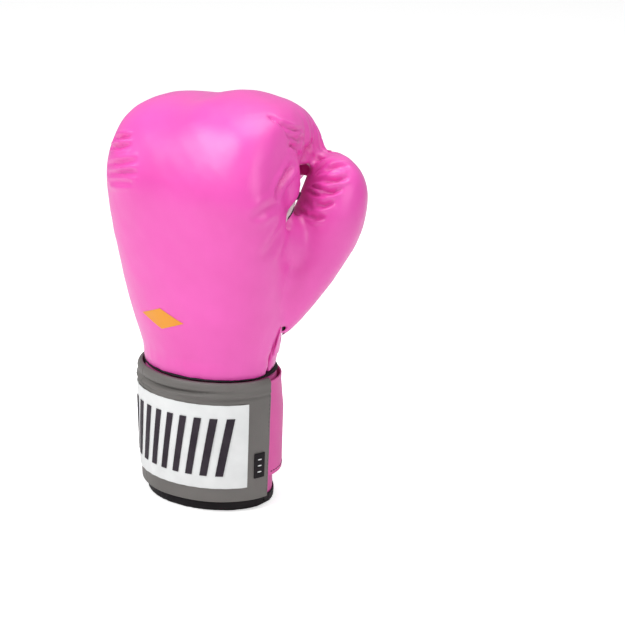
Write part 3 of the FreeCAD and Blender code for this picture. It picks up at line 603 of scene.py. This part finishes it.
rows = [laid(slit_path(inside, 0.099), facing_skin, (0, -1, 0)) for inside in (0.0022, 0.0042, 0.0125)]
sewn("facing_stitches", rows, "glove")
for name, half, high, kind, each in (
    ("slot_trim_edge", 0.0027, 0.0010, thread_black, "black_binding"),
    ("slot_trim", 0.0016, 0.0018, white_leather, "white_leather"),
):
    corners, faces = [], []
    line = [Vector(a).lerp(Vector(b), i / 6) for a, b in zip(SLOT_FOOT[:-1], SLOT_FOOT[1:]) for i in range(6)]
    line = [fist_skin.find_nearest(p)[:2] for p in line + [Vector(SLOT_FOOT[-1])]]
    for k, (at, way) in enumerate(line):
        ahead = (line[min(k + 1, len(line) - 1)][0] - line[max(k - 1, 0)][0]).normalized()
        side = way.cross(ahead).normalized()
        for share, lift in ((-1, -0.001), (-1, 0.6 * high), (-0.5, high), (0.5, high), (1, 0.6 * high), (1, -0.001)):
            corners.append(at + side * (half * share) + way * lift)
    for k in range(len(line) - 1):
        for m in range(6):
            n = (m + 1) % 6
            faces.append((6 * k + m, 6 * k + n, 6 * k + 6 + n, 6 * k + 6 + m))
    faces.append(tuple(range(5, -1, -1)))
    faces.append(tuple(6 * (len(line) - 1) + m for m in range(6)))
    strip = bpy.data.meshes.new(name)
    strip.from_pydata(corners, [], faces)
    strip.validate()
    strip = bpy.data.objects.new(name, strip)
    bpy.context.scene.collection.objects.link(strip)
    bpy.ops.object.select_all(action="DESELECT")
    strip.select_set(True)
    bpy.context.view_layer.objects.active = strip
    bpy.ops.object.mode_set(mode="EDIT")
    bpy.ops.mesh.select_all(action="SELECT")
    bpy.ops.mesh.normals_make_consistent(inside=False)
    bpy.ops.object.mode_set(mode="OBJECT")
    strip.data.materials.append(kind)
    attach(strip, "glove")
trim_points = points_of(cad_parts["thumb_trim"])
trim_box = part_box("thumb_trim")
middle_line = []
for i in range(34):
    z = TRIM_FOOT + (trim_box[1][2] - TRIM_FOOT - 0.002) * i / 33
    level = trim_points[np.abs(trim_points[:, 2] - z) < 0.0025]
    if len(level):
        middle_line.append(((level[:, 0].min() + level[:, 0].max()) / 2, 0, z))
trim_rows = [laid(middle_line, skin_of("thumb_trim"), (0, -1, 0))]
sewn("trim_stitches", trim_rows, "glove")

# ---------------------------------------------------------------- padded cuff
# Foam tube covered in pink leather and lined in black cloth, closed over at the rim by a folded
# black binding tape. The covers meet in sewn seams on the thumb side and the little-finger side.
CUFF_HEIGHT, TOP_HALF, RIM_HALF = 0.093, (0.0495, 0.0395), (0.046, 0.037)


def on_cuff(turn, z, out):
    """A place on the cuff's tapered oval, some way outside its cover."""
    hx, hy = (RIM_HALF[i] + (TOP_HALF[i] - RIM_HALF[i]) * z / CUFF_HEIGHT + out for i in (0, 1))
    c, s = math.cos(math.radians(turn)), math.sin(math.radians(turn))
    r = 1 / math.hypot(c / hx, s / hy)
    return Vector((r * c, r * s, z))


def out_of_cuff(turn):
    return Vector((math.cos(math.radians(turn)) / TOP_HALF[0], math.sin(math.radians(turn)) / TOP_HALF[1], 0)).normalized()


CUFF_NODES = ("cuff_back_cover", "cuff_thumb_cover", "cuff_little_cover", "cuff_foam")
cuff = joined("padded_cuff", *CUFF_NODES)
shaped(cuff, "REMESH", mode="VOXEL", voxel_size=0.0026)
cuff = largest_shell(cuff)
shaped(cuff, "SMOOTH", factor=0.5, iterations=2)
cuff_edge = skin_of("rim_binding", "cuff_lining", "slit_facing", "loop_tape", "strap_root_tab", "cuff_piping")
held = np.clip(1.3 - distance_to(cuff_edge, points_of(cuff), 0.03) / 0.008, 0, 1)
swell(cuff, held, 0.0004, 0.0009)
shaped(cuff, "SUBSURF", levels=1, render_levels=1)
spots, ways = points_of(cuff), normals_of(cuff)
turns = np.degrees(np.arctan2(spots[:, 1], spots[:, 0]))
seams = sum(np.exp(-(((turns - at) * 0.00078 / 0.0009) ** 2)) for at in (30.0, 150.0))
outer = (ways[:, 0] * spots[:, 0] + ways[:, 1] * spots[:, 1]) > 0
put_points(cuff, spots - ways * (0.0006 * seams * outer)[:, None])
cuff.data.materials.append(pink_dark)
cuff.data.materials.append(black_cloth)
middles = np.empty(len(cuff.data.polygons) * 3)
cuff.data.polygons.foreach_get("center", middles)
lined = distance_to(skin_of("cuff_lining"), middles.reshape(-1, 3), 0.01) < 0.0022
cuff.data.polygons.foreach_set("material_index", lined.astype(np.int32))
bpy.ops.object.shade_smooth()
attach(cuff, "glove")
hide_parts(*CUFF_NODES)

binding_cloth = surface(
    "black_binding_tape", (0.006, 0.005, 0.006), (0.022, 0.018, 0.021), (0.45, 0.6), "Object", weave=cloth_weave, Specular_IOR_Level=0.15
)
rim = joined("rim_binding_tape", "rim_binding")
shaped(rim, "REMESH", mode="VOXEL", voxel_size=0.0011)
rim = largest_shell(rim)
shaped(rim, "SMOOTH", factor=0.5, iterations=6)
spots, ways = points_of(rim), normals_of(rim)
puckers = 0.00022 * slow_noise(spots, 0.016, 3) * np.clip(spots[:, 2] / 0.003, 0, 1)
put_points(rim, spots + ways * puckers[:, None])
rim.data.materials.append(binding_cloth)
bpy.ops.object.shade_smooth()
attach(rim, "glove")
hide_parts("rim_binding")
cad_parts["cuff_piping"].data.materials.clear()
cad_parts["cuff_piping"].data.materials.append(binding_cloth)
foam_block = surface("cut_foam", (0.42, 0.40, 0.34), (0.55, 0.52, 0.45), (0.9, 1.0), "Object")
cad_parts["grip_bar"].data.materials.clear()
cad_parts["grip_bar"].data.materials.append(foam_block)
tape_fuzz = surface("hook_and_loop_tape", (0.010, 0.009, 0.010), (0.05, 0.047, 0.05), (0.85, 1.0), "Object",
                    depth=0.0006, strength=0.9, weave=cloth_weave)
for each in ("loop_tape", "hook_tape"):
    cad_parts[each].data.materials.clear()
    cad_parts[each].data.materials.append(tape_fuzz)

# ---------------------------------------------------------------- wrist strap: elastic
# Wide black ribbed elastic across the palm side of the wrist. One end is sewn to the cuff under a
# pink flap, and the other is sewn into the pink part of the strap.
STRAP_LOW, STRAP_HIGH, STRAP_OUT, STRAP_THICK = 0.00775, 0.0940, 0.0026, 0.0024


def wrapped(name, start, end, low, high, inner, thick, columns, rows, soft, shape=None):
    """A flat panel with rounded edges, laid round the cuff; its own map runs in metres along and up it."""
    length = sum(
        (on_cuff(start + (end - start) * (i + 1) / 40, 0.048, inner) - on_cuff(start + (end - start) * i / 40, 0.048, inner)).length
        for i in range(40)
    )
    bpy.ops.object.select_all(action="DESELECT")
    bpy.ops.mesh.primitive_grid_add(x_subdivisions=columns, y_subdivisions=rows, size=1.0)
    panel = bpy.context.object
    panel.name = name
    for v in panel.data.vertices:
        v.co = ((v.co.x + 0.5) * length, low + (v.co.y + 0.5) * (high - low), 0)
    for loop, place in zip(panel.data.loops, panel.data.uv_layers[0].data):
        place.uv = panel.data.vertices[loop.vertex_index].co.xy
    shaped(panel, "SOLIDIFY", thickness=thick, offset=1.0, use_even_offset=True)
    shaped(panel, "BEVEL", width=soft, segments=3, limit_method="ANGLE", angle_limit=math.radians(60))
    for v in panel.data.vertices:
        share, out = v.co.x / length, v.co.z
        rise = shape(v.co.x, length, v.co.y, out / thick) if shape else 0.0
        turn = start + (end - start) * share
        v.co = on_cuff(turn, v.co.y, inner + out) + out_of_cuff(turn) * rise
    bpy.ops.object.shade_smooth()
    return panel


ribs, given, put = make_group("elastic_ribs", [("Place", None), ("Rib", 700.0)], ["Height", "Tone"])
axes = node(ribs, "ShaderNodeSeparateXYZ", {0: given["Place"]})
rib = math_node(ribs, "PINGPONG", math_node(ribs, "MULTIPLY", axes.outputs[0], given["Rib"]), 0.5)
pick = math_node(ribs, "PINGPONG", math_node(ribs, "MULTIPLY", axes.outputs[1], 1400.0), 0.5)
lint = node(ribs, "ShaderNodeTexNoise", {"Vector": given["Place"], "Scale": 120.0, "Detail": 3.0})
ribs.links.new(math_node(ribs, "MULTIPLY_ADD", pick, 0.4, rib), put["Height"])
ribs.links.new(math_node(ribs, "MULTIPLY_ADD", rib, 0.8, lint.outputs[0]), put["Tone"])
elastic_cloth = surface(
    "ribbed_elastic", (0.004, 0.003, 0.004), (0.018, 0.013, 0.016), (0.7, 0.85), "UV",
    depth=0.0003, strength=0.7, weave=ribs, Specular_IOR_Level=0.2,
)
elastic = wrapped("wrist_elastic", 44.0, 107.3, 0.0118, 0.0855, 0.0026, 0.0016, 60, 30, 0.0005)
elastic.data.materials.append(elastic_cloth)
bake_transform(elastic)
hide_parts("strap_elastic", "strap_root_tab")


def flap_shape(x, length, z, out):
    """The flap stands out over the sewn-down elastic and hangs a little clear of the cuff at its lower edge."""
    share = min(1.0, x / (0.62 * length))
    rise = share * share * (3 - 2 * share)
    low = min(1.0, max(0.0, (0.085 - z) / 0.060))
    return 0.0006 + 0.0036 * rise * (0.35 + 0.65 * min(1.0, low * 3)) + 0.0024 * low * low * (1 - rise * 0.75)


flap = wrapped("elastic_root_flap", -2.0, 50.5, 0.0215, 0.0905, 0.0002, 0.0011, 48, 46, 0.0004, flap_shape)
flap.data.materials.append(pink_dark)
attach(flap, "glove")
edge_rows = []
for turn in (44.6, 47.9):
    edge_rows.append([
        (on_cuff(turn, 0.0235 + 0.0560 * i / 30, 0.0056), out_of_cuff(turn)) for i in range(31)
    ])
sewn("flap_stitches", edge_rows, "glove")
hem = []
for i in range(25):
    turn = 1.0 + 42.0 * i / 24
    rise = flap_shape((turn + 2.0) / 52.5, 1.0, 0.0245, 1)
    hem.append((on_cuff(turn, 0.0245, 0.0013 + rise), out_of_cuff(turn)))
sewn("flap_hem_stitches", [hem], "glove")

# ---------------------------------------------------------------- wrist strap: pink side panel
# Pink leather panel round the little-finger side of the wrist, bound in black tape at its top and
# bottom edges and sewn to the end of the elastic.
def side_shape(x, length, z, out):
    """A little fullness between the bound edges, with a faint hollow beside the elastic."""
    v = (z - STRAP_LOW) / (STRAP_HIGH - STRAP_LOW)
    full = 0.0007 * (1 - (2 * v - 1) ** 4) * out
    return full + 0.00025 * math.sin(x * 330 + 3 * v) * out * v * (1 - v) * 4


side_panel = wrapped("strap_side_panel", 107.6, 142.5, STRAP_LOW, STRAP_HIGH, STRAP_OUT, STRAP_THICK, 40, 60, 0.0007, side_shape)
side_panel.data.materials.append(pink)
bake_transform(side_panel)
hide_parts("strap_side_leather")
for name, low, high in (("lower", STRAP_LOW - 0.0007, STRAP_LOW + 0.0062), ("upper", STRAP_HIGH - 0.0062, STRAP_HIGH + 0.0007)):
    tape = wrapped(f"{name}_strap_binding", 106.4, 142.8, low, high, STRAP_OUT - 0.0007, STRAP_THICK + 0.0022, 40, 6, 0.0013)
    tape.data.materials.append(binding_cloth)
    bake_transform(tape)
    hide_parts(f"strap_binding_{name}")
end_tape = wrapped("elastic_end_binding", 105.0, 109.0, STRAP_LOW + 0.004, STRAP_HIGH - 0.004, STRAP_OUT - 0.0002, STRAP_THICK + 0.001, 8, 40, 0.0009)
end_tape.data.materials.append(binding_cloth)
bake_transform(end_tape)

# ---------------------------------------------------------------- wrist strap: grey wrap
# Soft grey leather that goes round the back of the wrist. Its upper edge is turned over and buckles
# into long low folds, and its free end is held down by hook-and-loop tape.
def grey_shape(x, length, z, out):
    """A turned upper edge, long buckles under it, and slow swells over the rest."""
    v = (z - STRAP_LOW) / (STRAP_HIGH - STRAP_LOW)
    edge = 0.0008 * math.exp(-(((v - 0.965) / 0.028) ** 2))
    wave = 0.5 + 0.5 * math.sin(x * 52 + 2.2)
    folds = -0.0030 * wave * math.exp(-(((v - 0.918 - 0.010 * math.sin(x * 48)) / 0.011) ** 2))
    folds += 0.0013 * math.exp(-(((v - 0.888 - 0.010 * math.sin(x * 40 + 2)) / 0.014) ** 2))
    folds -= 0.0026 * (1 - wave) * math.exp(-(((v - 0.866 - 0.012 * math.sin(x * 33 + 1)) / 0.010) ** 2))
    folds *= min(1.0, max(0.12, (0.185 - x) / 0.06))
    slow = 0.00022 * math.sin(x * 150 + 7 * v) * math.sin(9 * v + 1)
    tuck = -0.0016 * max(0.0, (v - 0.88) / 0.12) ** 2
    return tuck + (edge + folds + slow + 0.0004 * (1 - (2 * v - 1) ** 4)) * (0.25 + 0.75 * out)


grey_leather = surface(
    "grey_strap_leather", (0.115, 0.108, 0.101), (0.170, 0.160, 0.150), (0.42, 0.56), "Object", depth=0.00025, strength=0.45
)
SIDE_FOLD = ((-0.0556, 0.009, 0.048), (-0.0556, -0.009, 0.048))
BACK_FOLD = ((-0.009, -0.0435, 0.048), (0.017, -0.0435, 0.048))
GREY_START, GREY_MEET, GREY_END = 141.8, 230.0, 357.5
for name, start, end, ends, bodies, nodes in (
    ("strap_grey_side", GREY_START, GREY_MEET, SIDE_FOLD, ("strap_side", "strap_back"), ("strap_side_band",)),
    ("strap_grey_back", GREY_MEET, GREY_END, BACK_FOLD, ("strap_back", "strap_tip"), ("strap_back_band", "strap_end_band")),
):
    offset = 0.0 if start == GREY_START else 0.0765
    band = wrapped(
        name, start, end, STRAP_LOW, STRAP_HIGH, STRAP_OUT, STRAP_THICK, 100 if offset else 80, 110, 0.0007,
        lambda x, length, z, out, offset=offset: grey_shape(x + offset, length, z, out),
    )
    band.data.materials.append(grey_leather)
    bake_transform(band)
    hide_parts(*nodes)
thread_grey = surface("grey_thread", (0.06, 0.05, 0.048), (0.10, 0.09, 0.085), (0.5, 0.6), "Object", weave=cloth_weave)
end_row = [(on_cuff(355.8, STRAP_LOW + 0.004 + 0.074 * i / 30, 0.0053), out_of_cuff(355.8)) for i in range(31)]
sewn("strap_end_stitches", [end_row], "strap_tip", thread_grey, thick=0.0003)

# ---------------------------------------------------------------- label and size tab
# White satin label sewn across the back of the wrist, with a plain row of slanted dark bars woven
# into it, and a small dark tab with three pale ticks near the strap's end.
LABEL_FROM, LABEL_TO, LABEL_LOW, LABEL_HIGH = 198.0, 337.5, 0.01825, 0.079
FACE = STRAP_OUT + STRAP_THICK
satin = surface(
    "white_satin_label", (0.74, 0.76, 0.755), (0.86, 0.88, 0.875), (0.32, 0.48), "UV", depth=0.0002, strength=0.4,
    weave=cloth_weave, Sheen_Weight=0.2,
)


def label_shape(x, length, z, out):
    """The label follows the strap's swells and puckers a little along its sewn edges."""
    u, v = x / length, (z - LABEL_LOW) / (LABEL_HIGH - LABEL_LOW)
    near_edge = math.exp(-min(v, 1 - v) / 0.05)
    return 0.00045 + 0.00015 * near_edge * math.sin(x * 700) + 0.00012 * math.sin(x * 90 + 5 * v)


label = wrapped("wrist_label", LABEL_FROM, LABEL_TO, LABEL_LOW, LABEL_HIGH, FACE + 0.0001, 0.0005, 150, 40, 0.00015, label_shape)
label.data.materials.append(satin)
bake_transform(label)
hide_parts("label_back", "label_end")
ink = surface("dark_woven_bars", (0.020, 0.013, 0.022), (0.05, 0.04, 0.052), (0.5, 0.62), "Object", weave=cloth_weave, Specular_IOR_Level=0.15)
bars = []
for i in range(9):
    at = 209.0 + 13.4 * i
    bar = wrapped(f"label_bar_{i}", at, at + 6.4, 0.0275, 0.0695, FACE + 0.0001, 0.00025, 8, 20, 0.0001,
                  lambda x, length, z, out: 0.00118)
    for v in bar.data.vertices:
        turn = math.degrees(math.atan2(v.co.y, v.co.x)) % 360
        stand_off = v.co.xy.length - on_cuff(turn, v.co.z, 0).xy.length
        foot = on_cuff(turn + 4.5 * (v.co.z - 0.0485) / 0.021, v.co.z, 0)
        v.co.xy = foot.xy * (1 + stand_off / foot.xy.length)
    bars.append(bar)
bpy.ops.object.select_all(action="DESELECT")
for bar in bars:
    bar.select_set(True)
bpy.context.view_layer.objects.active = bars[0]
bpy.ops.object.join()
bars = bpy.context.object
bars.name = "label_bars"
bars.data.materials.append(ink)
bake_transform(bars)
tab = wrapped("size_tab_patch", 343.0, 352.0, 0.024, 0.042, FACE + 0.0003, 0.0007, 10, 14, 0.0002, lambda x, length, z, out: 0.0003)
tab.data.materials.append(binding_cloth)
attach(tab, "strap_tip")
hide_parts("size_tab")
ticks = [[(on_cuff(345.2, z, FACE + 0.0014), out_of_cuff(345.2)), (on_cuff(349.8, z, FACE + 0.0014), out_of_cuff(349.8))] for z in (0.0285, 0.033, 0.0375)]
sewn("size_ticks", ticks, "strap_tip", satin, length=0.0036, pitch=0.0037, thick=0.0005)
